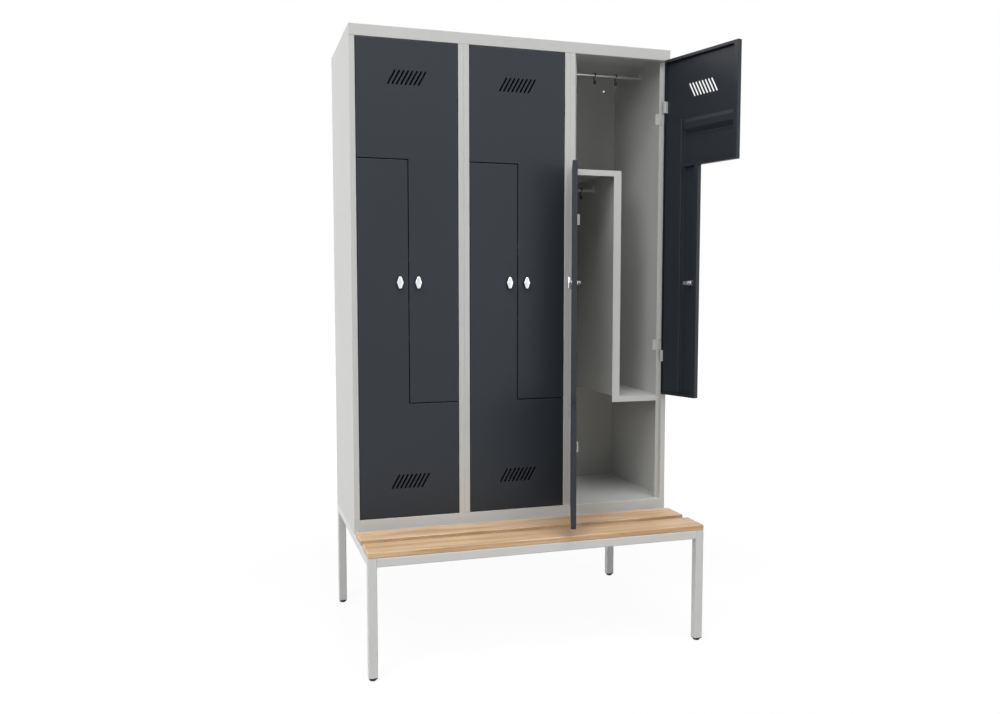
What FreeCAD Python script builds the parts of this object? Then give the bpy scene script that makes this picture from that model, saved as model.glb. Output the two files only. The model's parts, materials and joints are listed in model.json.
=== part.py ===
import FreeCAD, Part
import math
import os

from FreeCAD import Vector

# A sheet-steel locker with Z-shaped compartments on a tube frame that carries a slatted bench.
# Millimetres: X runs along the width, Y from front to rear and Z up.
# The origin lies on the floor, under the middle of the frame's footprint.

# Overall sizes
columns = ["left", "middle", "right"]
column_pitch = 400.0
body_depth = 496.0
body_height = 1750.0
bench_depth = 304.0
frame_height = 404.0

# Sheet metal
sheet = 1.0
bend_radius = 0.8

# Carcass front
stile_width = 20.0
top_band = 40.0
bottom_band = 49.0
stop_depth = 20.5
stop_flange = 12.0
weld_flange = 15.0
foot_flange = 25.0
wall_hole_inset = 54.0
wall_hole_radius = 3.5

# Z-shaped divider
wide_zone = 406.0
shelf_drop = 5.5
shelf_flange = 21.0
post_width = 30.0

# Doors
frame_gap = 2.0
door_gap = 3.0
door_depth = 18.0
free_lip = 18.0
end_lip = 10.0
right_lower_angle = 111.2
right_upper_angle = 106.5

# Slanted vent slots
vent_count = 8
vent_pitch = 15.3
vent_width = 6.0
vent_height = 50.0
vent_lean = 28.0
vent_from_end = 127.0
vent_from_middle = 2.0

# Door stiffeners
post_hat_start = 8.0
post_hat_reach = 92.0
post_hat_slope = 4.0
post_hat_height = 14.0
cross_hat_from_end = 227.5
cross_hat_width = 55.0
cross_hat_slope = 16.0
cross_hat_height = 13.0
hat_foot = 9.0
hat_gap = 2.0

# Gooseneck hinges, whose axis lies inside the stile
axis_inset = 7.5
axis_depth = 4.0
knuckle_radius = 2.7
pin_radius = 1.3
pin_clearance = 0.05
pin_short = 1.0
leaf_thickness = 1.5
leaf_height = 42.0
plate_height = 40.0
plate_reach = 28.0
axial_gap = 0.5
arm_offset = 2.0
arm_back = 9.5
leaf_end_clearance = 0.5
notch_clearance = 1.0
hinge_from_wide_end = 150.0
hinge_from_narrow_end = 126.0

# Turn knob, its barrel and its cam
knob_from_edge = 31.0
knob_length = 43.6
knob_width = 26.4
knob_flat = 10.4
knob_height = 12.0
knob_taper = 1.5
knob_clearance = 0.3
rosette_radius = 11.0
rosette_thickness = 1.5
barrel_radius = 8.0
barrel_end = 22.0
barrel_clearance = 0.05
barrel_nut_width = 22.0
barrel_nut_height = 5.0
spindle_radius = 4.0
spindle_clearance = 0.1
spindle_end = 31.5
cam_thickness = 2.5
cam_reach = 28.0
cam_width = 16.0
cam_gap = 1.0
cam_nut_width = 13.0
cam_nut_height = 5.0

# Clothes rails, their sockets and the sliding hooks
rail_radius = 6.0
rail_drop = 50.0
rail_depth = 248.0
socket_width = 18.0
socket_height = 30.0
socket_depth = 5.5
socket_floor = 1.5
socket_clearance = 0.1
hook_ring_radius = 10.5
hook_clearance = 0.3
hook_thickness = 4.0
hook_bend_drop = 26.0
hook_bend_inner = 5.5
hook_bend_outer = 8.5
hook_tip_rise = 5.0
upper_hook_places = [0.0, 90.0]
lower_hook_from_web = 54.0

# Bench frame
tube_size = 30.0
tube_wall = 2.0
tube_corner = 3.0
slat_width = 115.0
slat_thickness = 19.0
slat_gap = 40.0
slat_edge = 3.0
glide_height = 12.0
glide_flange = 3.0
glide_flange_inset = 0.5
glide_radius = 13.0
glide_neck_radius = 12.0
glide_neck_height = 1.5
glide_foot_radius = 8.0
glide_dome_height = 4.0
glide_dome_bulge = 0.62
glide_plug = 18.0
glide_clearance = 0.1

# Screws and bolts
slat_screw_radius = 3.0
slat_screw_head_radius = 6.0
slat_screw_head_height = 3.5
slat_screw_depth = 12.0
slat_screw_spread = 40.0
bolt_radius = 4.0
bolt_head_width = 13.0
bolt_head_height = 5.3
bolt_nut_height = 6.5
bolt_tail = 9.0
bolt_clearance = 0.2
thread_clearance = 0.05

# Sizes that follow from those above
width = column_pitch * len(columns)
depth = body_depth + bench_depth
front_y = bench_depth - depth / 2
body_bottom = frame_height
body_top = body_bottom + body_height
opening_bottom = body_bottom + bottom_band
opening_top = body_top - top_band
centre_x = column_pitch / 2
centre_z = (opening_bottom + opening_top) / 2
lower_step = opening_bottom + wide_zone
upper_step = opening_top - wide_zone
upper_shelf = upper_step - shelf_drop
lower_shelf = lower_step - shelf_drop
back_panel_front = body_depth - 2 * sheet
stop_back = stop_depth + sheet

# The lower door's edges, in its column
door_hinge_edge = stile_width + frame_gap
door_free_edge = column_pitch - door_hinge_edge
door_middle_edge = centre_x - door_gap / 2
door_wide_end = opening_bottom + frame_gap
door_step = lower_step - door_gap / 2
door_narrow_end = upper_step - door_gap / 2
hinge_x = door_hinge_edge - axis_inset
hinge_y = axis_depth
knob_x = door_middle_edge - knob_from_edge
knob_z = centre_z


def box(x0, x1, y0, y1, z0, z1):
    return Part.makeBox(x1 - x0, y1 - y0, z1 - z0, Vector(x0, y0, z0))


def rod(radius, start, direction, length):
    return Part.makeCylinder(radius, length, Vector(*start), Vector(*direction))


def fused(shapes):
    whole = shapes[0]
    for shape in shapes[1:]:
        whole = whole.fuse(shape)
    return whole.removeSplitter()


def edges_along(block, axis):
    """The straight edges of an upright block that run along one axis."""
    found = []
    for edge in block.Edges:
        extent = edge.BoundBox
        lengths = {"x": extent.XLength, "y": extent.YLength, "z": extent.ZLength}
        if lengths[axis] == max(lengths.values()):
            found.append(edge)
    return found


def hexagon_prism(across_flats, start, direction, length):
    """A hexagonal nut or bolt head standing on start along direction."""
    corner = across_flats / math.sqrt(3.0)
    points = []
    for index in range(7):
        angle = math.radians(60.0 * index)
        points.append(Vector(corner * math.cos(angle), corner * math.sin(angle), 0))
    prism = Part.Face(Part.makePolygon(points)).extrude(Vector(0, 0, length))
    turn = FreeCAD.Rotation(Vector(0, 0, 1), Vector(*direction))
    prism.Placement = FreeCAD.Placement(Vector(*start), turn)
    return prism


def prism_xz(outline, y0, y1):
    """A polygon of (x, z) points carried from y0 to y1."""
    points = [Vector(x, y0, z) for x, z in outline]
    face = Part.Face(Part.makePolygon(points + points[:1]))
    return face.extrude(Vector(0, y1 - y0, 0))


def placed(axis, a, b, along):
    if axis == "x":
        return Vector(along, a, b)
    if axis == "y":
        return Vector(a, along, b)
    return Vector(a, b, along)


def folded_sheet(path, axis, start, end, thickness=sheet):
    """A sheet folded along a mid-line of (a, b) points, carried along axis from start to end."""
    half = thickness / 2
    radius = bend_radius + half
    points = [Vector(a, b, 0) for a, b in path]
    steps = [(q - p).normalize() for p, q in zip(points, points[1:])]
    normals = [Vector(-step.y, step.x, 0) for step in steps]

    def at(point):
        return placed(axis, point.x, point.y, start)

    def side(sign):
        edges = []
        last = points[0] + normals[0] * (sign * half)
        for i in range(1, len(points) - 1):
            cross = steps[i - 1].x * steps[i].y - steps[i - 1].y * steps[i].x
            turn = math.atan2(cross, steps[i - 1].dot(steps[i]))
            way = math.copysign(1.0, turn)
            trim = radius * math.tan(abs(turn) / 2)
            enter = points[i] - steps[i - 1] * trim
            leave = points[i] + steps[i] * trim
            centre = enter + normals[i - 1] * (way * radius)
            arc_radius = radius - sign * way * half
            first = enter + normals[i - 1] * (sign * half)
            middle = centre + (points[i] - centre).normalize() * arc_radius
            final = leave + normals[i] * (sign * half)
            edges.append(Part.LineSegment(at(last), at(first)).toShape())
            edges.append(Part.Arc(at(first), at(middle), at(final)).toShape())
            last = final
        tail = points[-1] + normals[-1] * (sign * half)
        edges.append(Part.LineSegment(at(last), at(tail)).toShape())
        return edges, tail

    left, left_end = side(1.0)
    right, right_end = side(-1.0)
    cap = Part.LineSegment(at(left_end), at(right_end)).toShape()
    head_left = points[0] + normals[0] * half
    head_right = points[0] - normals[0] * half
    head = Part.LineSegment(at(head_left), at(head_right)).toShape()
    wire = Part.Wire(Part.__sortEdges__(left + right + [cap, head]))
    return Part.Face(wire).extrude(placed(axis, 0, 0, end) - placed(axis, 0, 0, start))


def turned_over(shape):
    """The same piece of the upper door: half a turn about the column's middle."""
    copy = shape.copy()
    copy.rotate(Vector(centre_x, 0, centre_z), Vector(0, 1, 0), 180)
    return copy


def mirrored_wall(shape):
    """A left wall's shape as the right wall of the same column."""
    return shape.mirror(Vector(centre_x, 0, 0), Vector(1, 0, 0))


def in_column(index, shape):
    copy = shape.copy()
    copy.translate(Vector(column_pitch * index - width / 2, front_y, 0))
    return copy


def save(name, shapes):
    whole = shapes[0] if len(shapes) == 1 else Part.makeCompound(shapes)
    whole.exportStep("parts/" + name + ".step")
    print(name, len(shapes), "solid(s)", [round(shape.Volume) for shape in shapes[:3]])


# Hinges of the lower door, as spans of Z for the leaf on the door and the plate on the frame
def hinge_spans():
    wide_leaf = door_wide_end + hinge_from_wide_end
    wide_plate = wide_leaf + leaf_height + axial_gap
    narrow_leaf = door_narrow_end - hinge_from_narrow_end - leaf_height
    narrow_plate = narrow_leaf - axial_gap - plate_height
    return [(wide_leaf, wide_plate), (narrow_leaf, narrow_plate)]


def knuckle(path, z0, height, bore):
    """A hinge half: a strap folded along path, with its knuckle bored on the axis."""
    places = [(hinge_x + a, hinge_y + b) for a, b in path]
    strap = folded_sheet(places, "z", z0, z0 + height, leaf_thickness)
    barrel = rod(knuckle_radius, (hinge_x, hinge_y, z0), (0, 0, 1), height)
    hole = rod(bore, (hinge_x, hinge_y, z0), (0, 0, 1), height)
    return fused([strap, barrel]).cut(hole)


def hinge_leaves():
    """The moving halves: out of the knuckle rearwards, round the stile's corner and into the door."""
    inside = axis_inset + sheet + leaf_thickness / 2
    front = sheet + leaf_end_clearance - hinge_y
    path = [(-arm_offset, 0), (-arm_offset, arm_back), (inside, arm_back), (inside, front)]
    return [knuckle(path, leaf, leaf_height, pin_radius + pin_clearance) for leaf, plate in hinge_spans()]


def hinge_plates():
    """The fixed halves: from the knuckle rearwards and out along the stop flange."""
    rear = stop_depth - hinge_y - leaf_thickness / 2
    reach = axis_inset - frame_gap + plate_reach
    path = [(-arm_offset, 0), (-arm_offset, rear), (reach, rear)]
    return [knuckle(path, plate, plate_height, pin_radius) for leaf, plate in hinge_spans()]


def hinge_pins():
    pins = []
    for leaf, plate in hinge_spans():
        low = min(leaf, plate) + pin_short
        high = max(leaf + leaf_height, plate + plate_height) - pin_short
        pins.append(rod(pin_radius, (hinge_x, hinge_y, low), (0, 0, 1), high - low))
    return pins


def hinge_slots():
    """Cut-outs in the stile's return that let both halves of each hinge through."""
    slots = []
    for leaf, plate in hinge_spans():
        low = min(leaf, plate) - notch_clearance
        high = max(leaf + leaf_height, plate + plate_height) + notch_clearance
        inner = stile_width - sheet - bend_radius
        slots.append(box(inner, stile_width + sheet, sheet, stop_depth, low, high))
    return slots


# Carcass
def wall(rear, low, high, upper_front):
    """A column's left wall: rear flange, wall, stile, return and stop flange."""
    half = sheet / 2
    path = [
        (weld_flange, rear - half),
        (half, rear - half),
        (half, half),
        (stile_width - half, half),
        (stile_width - half, stop_depth + half),
        (stile_width + stop_flange, stop_depth + half),
    ]
    pieces = [folded_sheet(path, "z", opening_bottom, opening_top)]
    pieces.append(box(0, sheet, upper_front, rear, opening_top, high))
    if low < opening_bottom:
        pieces.append(box(0, sheet, 0, rear, low, opening_bottom))
    return fused(pieces)


def left_wall(rear, low, high, upper_front):
    shape = wall(rear, low, high, upper_front)
    for slot in hinge_slots():
        shape = shape.cut(slot)
    return shape


def right_wall(rear, low, high, upper_front):
    shape = mirrored_wall(wall(rear, low, high, upper_front))
    for slot in hinge_slots():
        shape = shape.cut(turned_over(slot))
    return shape


def make_walls():
    last = len(columns) - 1
    outer = (body_depth, body_bottom, body_top, 0)
    inner = (back_panel_front, opening_bottom, body_top - sheet, stop_back)
    save("side_panel_left", [in_column(0, left_wall(*outer))])
    save("side_panel_right", [in_column(last, right_wall(*outer))])
    for index in range(last):
        halves = [in_column(index, right_wall(*inner)), in_column(index + 1, left_wall(*inner))]
        save("partition_" + columns[index] + "_" + columns[index + 1], halves)


def make_top_and_bottom():
    half = sheet / 2
    rear = body_depth - half
    low = opening_top + half
    high = body_top - half
    top_path = [
        (stop_depth + half - sheet, low + stop_flange),
        (stop_depth + half - sheet, low),
        (half, low),
        (half, high),
        (rear, high),
        (rear, high - weld_flange),
    ]
    top = folded_sheet(top_path, "x", sheet, width - sheet)
    rear = back_panel_front - half
    low = body_bottom + half
    high = opening_bottom - half
    bottom_path = [
        (foot_flange, low),
        (half, low),
        (half, high),
        (rear, high),
        (rear, low),
        (rear - foot_flange, low),
    ]
    bottom = folded_sheet(bottom_path, "x", sheet, width - sheet)
    for x, y in bolt_places():
        bottom = bottom.cut(rod(bolt_radius + bolt_clearance, (x, y, body_bottom), (0, 0, 1), sheet))
    move = Vector(-width / 2, front_y, 0)
    top.translate(move)
    bottom.translate(move)
    save("top_panel", [top])
    save("bottom_panel", [bottom])


def make_back():
    side = sheet + bend_radius
    top = body_top - side
    panel = box(side, width - side, back_panel_front, body_depth - sheet, body_bottom, top)
    height = body_top - wall_hole_inset
    for x in (wall_hole_inset, width - wall_hole_inset):
        panel = panel.cut(rod(wall_hole_radius, (x, back_panel_front, height), (0, 1, 0), sheet))
    panel.translate(Vector(-width / 2, front_y, 0))
    save("back_panel", [panel])


def divider():
    """The folded Z of two shelves and a web, and the stop frame across its front edges."""
    half = sheet / 2
    left = sheet + half
    right = column_pitch - left
    upper = upper_shelf - half
    lower = lower_shelf - half
    path = [
        (left, upper - weld_flange),
        (left, upper),
        (centre_x, upper),
        (centre_x, lower),
        (right, lower),
        (right, lower - weld_flange),
    ]
    folded = folded_sheet(path, "y", stop_back, back_panel_front - sheet - bend_radius)
    edge = stile_width + stop_flange
    post_left = centre_x - post_width / 2
    post_right = centre_x + post_width / 2
    outline = [
        (edge, upper_shelf),
        (post_right, upper_shelf),
        (post_right, lower_shelf),
        (column_pitch - edge, lower_shelf),
        (column_pitch - edge, lower_shelf - shelf_flange),
        (post_left, lower_shelf - shelf_flange),
        (post_left, upper_shelf - shelf_flange),
        (edge, upper_shelf - shelf_flange),
    ]
    return [folded, prism_xz(outline, stop_depth, stop_back)]


# Clothes rails
def upper_rail_z():
    return body_top - sheet - rail_drop


def lower_rail_z():
    return upper_shelf - sheet - rail_drop


def socket(x, z, way):
    """An oblong rail socket on a wall at x, open upwards, facing along way."""
    base = z - socket_width / 2
    crown = base + socket_height - socket_width / 2
    start = x if way > 0 else x - socket_depth
    side = socket_width / 2
    body = fused([
        rod(side, (start, rail_depth, z), (1, 0, 0), socket_depth),
        box(start, start + socket_depth, rail_depth - side, rail_depth + side, z, crown),
        rod(side, (start, rail_depth, crown), (1, 0, 0), socket_depth),
    ])
    groove = rail_radius + socket_clearance
    mouth = start + socket_floor if way > 0 else start
    length = socket_depth - socket_floor
    top = crown + side
    body = body.cut(rod(groove, (mouth, rail_depth, z), (1, 0, 0), length))
    return body.cut(box(mouth, mouth + length, rail_depth - groove, rail_depth + groove, z, top))


def rail(x0, x1, z):
    """A rail between the floors of its two sockets, with those sockets."""
    start = x0 + socket_floor
    bar = rod(rail_radius, (start, rail_depth, z), (1, 0, 0), x1 - socket_floor - start)
    return bar, [socket(x0, z, 1), socket(x1, z, -1)]


def hook(x, z):
    """A ring round the rail, a stem at its rear and a bend that opens upwards at the front."""
    half = hook_thickness / 2
    bend_z = z - hook_bend_drop
    start = x - half
    ring = rod(hook_ring_radius, (start, rail_depth, z), (1, 0, 0), hook_thickness)
    stem = box(start, x + half, rail_depth + hook_bend_inner, rail_depth + hook_bend_outer, bend_z, z)
    bend = rod(hook_bend_outer, (start, rail_depth, bend_z), (1, 0, 0), hook_thickness)
    throat = rod(hook_bend_inner, (start, rail_depth, bend_z), (1, 0, 0), hook_thickness)
    mouth = box(start, x + half, rail_depth - hook_bend_outer, rail_depth + hook_bend_outer, bend_z, z)
    tip_y = rail_depth - (hook_bend_inner + hook_bend_outer) / 2
    tip_radius = (hook_bend_outer - hook_bend_inner) / 2
    tip = box(start, x + half, tip_y - tip_radius, tip_y + tip_radius, bend_z, bend_z + hook_tip_rise)
    crown = rod(tip_radius, (start, tip_y, bend_z + hook_tip_rise), (1, 0, 0), hook_thickness)
    body = fused([ring, stem, bend.cut(throat).cut(mouth), tip, crown])
    return body.cut(rod(rail_radius + hook_clearance, (start, rail_depth, z), (1, 0, 0), hook_thickness))


# Doors
def door_outline(inset):
    return [
        (door_hinge_edge + inset, door_wide_end + inset),
        (door_free_edge - inset, door_wide_end + inset),
        (door_free_edge - inset, door_step - inset),
        (door_middle_edge - inset, door_step - inset),
        (door_middle_edge - inset, door_narrow_end - inset),
        (door_hinge_edge + inset, door_narrow_end - inset),
    ]


def vent_slots():
    """Slots that lean to the right at the top, with rounded ends."""
    slots = []
    middle = (door_hinge_edge + door_free_edge) / 2 + vent_from_middle
    height = door_wide_end + vent_from_end
    lean = math.degrees(math.atan2(vent_lean, vent_height))
    straight = math.hypot(vent_lean, vent_height) - vent_width
    radius = vent_width / 2
    for index in range(vent_count):
        x = middle + (index - (vent_count - 1) / 2) * vent_pitch
        low = height - straight / 2
        high = height + straight / 2
        slot = fused([
            box(x - radius, x + radius, 0, sheet, low, high),
            rod(radius, (x, 0, low), (0, 1, 0), sheet),
            rod(radius, (x, 0, high), (0, 1, 0), sheet),
        ])
        slot.rotate(Vector(x, 0, height), Vector(0, 1, 0), lean)
        slots.append(slot)
    return slots


def door_shell():
    """A pan of sheet metal with rounded front edges, flanges all round and lips on the free edges.

    The step's flange and lip run on across the narrow zone as far as the wide hat.
    """
    bar_lip_start = door_hinge_edge + post_hat_reach - post_hat_slope
    bar_wall_start = door_hinge_edge + post_hat_reach + hat_foot + hat_gap
    block = prism_xz(door_outline(0), 0, door_depth)
    front = [edge for edge in block.Edges if edge.BoundBox.YMax < sheet / 2]
    block = block.makeFillet(bend_radius + sheet, front)
    pan = block.cut(prism_xz(door_outline(sheet), sheet, door_depth))
    window = [
        (door_hinge_edge + sheet, door_wide_end + end_lip),
        (door_free_edge - free_lip, door_wide_end + end_lip),
        (door_free_edge - free_lip, door_step - end_lip),
        (bar_lip_start, door_step - end_lip),
        (bar_lip_start, door_step),
        (door_middle_edge - free_lip, door_step),
        (door_middle_edge - free_lip, door_narrow_end - end_lip),
        (door_hinge_edge + sheet, door_narrow_end - end_lip),
    ]
    lip_front = door_depth - sheet
    lips = prism_xz(door_outline(0), lip_front, door_depth).cut(prism_xz(window, lip_front, door_depth))
    bar = box(bar_wall_start, door_middle_edge - sheet, sheet, door_depth, door_step - sheet, door_step)
    shell = fused([pan, lips, bar])
    for slot in vent_slots():
        shell = shell.cut(slot)
    shell = shell.cut(rod(barrel_radius + barrel_clearance, (knob_x, 0, knob_z), (0, 1, 0), sheet))
    notch_front = hinge_y + arm_back - leaf_thickness / 2 - notch_clearance
    for leaf, plate in hinge_spans():
        low = leaf - notch_clearance
        high = leaf + leaf_height + notch_clearance
        shell = shell.cut(box(door_hinge_edge, door_hinge_edge + sheet, notch_front, door_depth, low, high))
    return [shell]


def door_stiffeners():
    """A wide hat along the hinge side, and a hat with sloped sides across the door beyond its vents."""
    half = sheet / 2
    skin = sheet + half
    cross_low = door_wide_end + cross_hat_from_end
    cross_high = cross_low + cross_hat_width
    near = door_hinge_edge + post_hat_start
    far = door_hinge_edge + post_hat_reach
    top = sheet + post_hat_height
    crown = far - post_hat_slope
    post_path = [(near, sheet), (near, top), (crown, top), (far, skin), (far + hat_foot, skin)]
    post_end = door_narrow_end - end_lip - hat_gap
    post = folded_sheet(post_path, "z", cross_low, post_end)
    ridge = sheet + cross_hat_height
    cross_path = [
        (skin, cross_low - hat_foot),
        (skin, cross_low),
        (ridge, cross_low + cross_hat_slope),
        (ridge, cross_high - cross_hat_slope),
        (skin, cross_high),
        (skin, cross_high + hat_foot),
    ]
    cross_start = far + hat_foot + hat_gap
    cross = folded_sheet(cross_path, "x", cross_start, door_free_edge - free_lip - hat_gap)
    return [post, cross]


def lock_barrel():
    """The fixed barrel with its rosette on the door's face, and the nut behind the sheet."""
    along = (0, 1, 0)
    face = (knob_x, -rosette_thickness, knob_z)
    rosette = rod(rosette_radius, face, along, rosette_thickness)
    barrel = rod(barrel_radius, (knob_x, 0, knob_z), along, barrel_end)
    bore = rod(spindle_radius + spindle_clearance, face, along, barrel_end + rosette_thickness)
    nut = hexagon_prism(barrel_nut_width, (knob_x, sheet, knob_z), along, barrel_nut_height)
    hole = rod(barrel_radius + barrel_clearance, (knob_x, sheet, knob_z), along, barrel_nut_height)
    return [fused([rosette, barrel]).cut(bore), nut.cut(hole)]


def knob_outline(shrink, y):
    """A long hexagon with flat ends, at the depth y."""
    tall = knob_length / 2 - shrink
    wide = knob_width / 2 - shrink / 2
    flat = knob_flat / 2
    points = [(flat, tall), (wide, 0), (flat, -tall), (-flat, -tall), (-wide, 0), (-flat, tall)]
    corners = [Vector(knob_x + x, y, knob_z + z) for x, z in points]
    return Part.makePolygon(corners + corners[:1])


def turn_knob():
    """The knob with its spindle, the cam that points to the hinge when unlocked, and its nut."""
    base = -rosette_thickness - knob_clearance
    along = (0, 1, 0)
    grip = Part.makeLoft([knob_outline(0, base), knob_outline(knob_taper, base - knob_height)], True, True)
    spindle = rod(spindle_radius, (knob_x, base, knob_z), along, spindle_end - base)
    cam_front = stop_back + cam_gap
    side = cam_width / 2
    tip = knob_x - cam_reach
    nut_front = cam_front + cam_thickness
    cam = fused([
        rod(side, (knob_x, cam_front, knob_z), along, cam_thickness),
        box(tip, knob_x, cam_front, nut_front, knob_z - side, knob_z + side),
    ])
    nut = hexagon_prism(cam_nut_width, (knob_x, nut_front, knob_z), along, cam_nut_height)
    hole = rod(spindle_radius, (knob_x, cam_front, knob_z), along, cam_thickness + cam_nut_height)
    return [fused([grip, spindle]), cam.cut(hole), nut.cut(hole)]


def swung(shape, level, angle):
    """A door's piece turned open about its hinge axis."""
    copy = shape.copy()
    if level == "lower":
        copy.rotate(Vector(hinge_x, hinge_y, 0), Vector(0, 0, 1), -angle)
    else:
        copy.rotate(Vector(column_pitch - hinge_x, hinge_y, 0), Vector(0, 0, 1), angle)
    return copy


def make_doors():
    pieces = {
        "shell": door_shell(),
        "stiffeners": door_stiffeners(),
        "hinge_leaves": hinge_leaves(),
        "lock_barrel": lock_barrel(),
        "turn_knob": turn_knob(),
    }
    rest = {("right", "lower"): right_lower_angle, ("right", "upper"): right_upper_angle}
    half_turn = {"lower": lambda shape: shape.copy(), "upper": turned_over}
    for index, column in enumerate(columns):
        for level in ("lower", "upper"):
            angle = rest.get((column, level), 0.0)
            for piece, shapes in pieces.items():
                placed_shapes = [swung(half_turn[level](shape), level, angle) for shape in shapes]
                save("_".join([column, level, "door", piece]), [in_column(index, s) for s in placed_shapes])


# Bench frame
def tube(x, y, z, length, axis):
    """A square tube with rounded corners from a low corner along one axis."""
    sizes = {"x": (length, tube_size, tube_size), "y": (tube_size, length, tube_size),
             "z": (tube_size, tube_size, length)}[axis]
    bore = tube_size - 2 * tube_wall
    bores = {"x": (length, bore, bore), "y": (bore, length, bore), "z": (bore, bore, length)}[axis]
    shift = {"x": (0, tube_wall, tube_wall), "y": (tube_wall, 0, tube_wall),
             "z": (tube_wall, tube_wall, 0)}[axis]
    outer = Part.makeBox(*sizes, Vector(x, y, z))
    inner = Part.makeBox(*bores, Vector(x, y, z) + Vector(*shift))
    outer = outer.makeFillet(tube_corner, edges_along(outer, axis))
    inner = inner.makeFillet(tube_corner - tube_wall, edges_along(inner, axis))
    return outer.cut(inner)


def leg_corners():
    return [(x, y) for y in (-bench_depth, body_depth - tube_size) for x in (0, width - tube_size)]


def slat_fronts():
    return [-bench_depth, -bench_depth + slat_width + slat_gap]


def slat_screw_places():
    """Screw axes through the side rails, a pair at each end of each slat."""
    places = []
    for front in slat_fronts():
        for x in (tube_size / 2, width - tube_size / 2):
            for way in (-0.5, 0.5):
                places.append((x, front + slat_width / 2 + way * slat_screw_spread))
    return places


def bolt_places():
    """Bolt axes that hold the carcass to the rails under its front and its rear."""
    places = []
    for y in (tube_size / 2, body_depth - tube_size / 2):
        for index in range(len(columns)):
            places.append((column_pitch * (index + 0.5), y))
    return places


def make_bench():
    move = Vector(-width / 2, front_y, 0)
    rail_bottom = frame_height - tube_size
    legs = [tube(x, y, glide_height, frame_height - glide_height, "z") for x, y in leg_corners()]
    inner_width = width - 2 * tube_size
    inner_depth = depth - 2 * tube_size
    rail_fronts = (-bench_depth, 0, body_depth - tube_size)
    rails = [tube(tube_size, y, rail_bottom, inner_width, "x") for y in rail_fronts]
    side_front = -bench_depth + tube_size
    rails += [tube(x, side_front, rail_bottom, inner_depth, "y") for x in (0, width - tube_size)]
    drills = [rod(slat_screw_radius + bolt_clearance, (x, y, rail_bottom), (0, 0, 1), tube_size)
              for x, y in slat_screw_places()]
    drills += [rod(bolt_radius + bolt_clearance, (x, y, rail_bottom), (0, 0, 1), tube_size)
               for x, y in bolt_places()]
    rails = [drilled(rail_piece, drills) for rail_piece in rails]
    legs = [drilled(leg, drills) for leg in legs]
    slats = []
    for front in slat_fronts():
        slat = box(0, width, front, front + slat_width, frame_height, frame_height + slat_thickness)
        slat = slat.makeFillet(slat_edge, slat.Edges)
        pilot = slat_screw_radius + thread_clearance
        pilots = [rod(pilot, (x, y, frame_height), (0, 0, 1), slat_screw_depth)
                  for x, y in slat_screw_places()]
        slats.append(drilled(slat, pilots))
    screws = [slat_screw(x, y, rail_bottom) for x, y in slat_screw_places()]
    bolts = []
    for x, y in bolt_places():
        bolts += carcass_bolt(x, y, rail_bottom)
    glides = [glide(x + tube_size / 2, y + tube_size / 2) for x, y in leg_corners()]
    groups = {
        "bench_legs": legs,
        "bench_rails": rails,
        "seat_slat_front": slats[:1],
        "seat_slat_rear": slats[1:],
        "slat_screws": screws,
        "carcass_bolts": bolts,
        "foot_glides": glides,
    }
    for name, shapes in groups.items():
        for shape in shapes:
            shape.translate(move)
        save(name, shapes)


def drilled(shape, drills):
    for drill in drills:
        if drill.BoundBox.intersect(shape.BoundBox):
            shape = shape.cut(drill)
    return shape


def slat_screw(x, y, under):
    """A pan-head screw from under the rail into the slat."""
    up = (0, 0, 1)
    head = rod(slat_screw_head_radius, (x, y, under - slat_screw_head_height), up, slat_screw_head_height)
    crown = [edge for edge in head.Edges if edge.BoundBox.ZMax < under - slat_screw_head_height / 2]
    head = head.makeFillet(slat_screw_head_height / 2, crown)
    shank = rod(slat_screw_radius, (x, y, under), up, tube_size + slat_screw_depth)
    return fused([head, shank])


def carcass_bolt(x, y, under):
    """A hexagon bolt through the rail and the bottom panel's flange, and its nut."""
    up = (0, 0, 1)
    head = hexagon_prism(bolt_head_width, (x, y, under - bolt_head_height), up, bolt_head_height)
    shank = rod(bolt_radius, (x, y, under), up, tube_size + sheet + bolt_tail)
    seat = body_bottom + sheet
    nut = hexagon_prism(bolt_head_width, (x, y, seat), up, bolt_nut_height)
    nut = nut.cut(rod(bolt_radius + thread_clearance, (x, y, seat), up, bolt_nut_height))
    return [fused([head, shank]), nut]


def glide(x, y):
    """A domed round foot under a square flange, with a plug that fills the tube's end."""
    seat = glide_height - glide_flange
    reach = glide_radius - glide_foot_radius
    bulge_x = glide_foot_radius + reach * glide_dome_bulge
    bulge_z = glide_dome_height * (1 - glide_dome_bulge)
    floor = Vector(glide_foot_radius, 0, 0)
    band_low = Vector(glide_radius, 0, glide_dome_height)
    band_high = Vector(glide_radius, 0, seat - glide_neck_height)
    neck = Vector(glide_neck_radius, 0, seat)
    outline = [
        Part.LineSegment(Vector(0, 0, 0), floor).toShape(),
        Part.Arc(floor, Vector(bulge_x, 0, bulge_z), band_low).toShape(),
        Part.LineSegment(band_low, band_high).toShape(),
        Part.LineSegment(band_high, neck).toShape(),
        Part.LineSegment(neck, Vector(0, 0, seat)).toShape(),
        Part.LineSegment(Vector(0, 0, seat), Vector(0, 0, 0)).toShape(),
    ]
    dome = Part.Face(Part.Wire(outline)).revolve(Vector(0, 0, 0), Vector(0, 0, 1), 360)
    wide = tube_size / 2 - glide_flange_inset
    flange = box(-wide, wide, -wide, wide, seat, glide_height)
    flange = flange.makeFillet(tube_corner - glide_flange_inset, edges_along(flange, "z"))
    side = tube_size / 2 - tube_wall - glide_clearance
    plug = box(-side, side, -side, side, glide_height, glide_height + glide_plug)
    plug = plug.makeFillet(tube_corner - tube_wall, edges_along(plug, "z"))
    foot = fused([dome, flange, plug])
    foot.translate(Vector(x, y, 0))
    return foot


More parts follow.
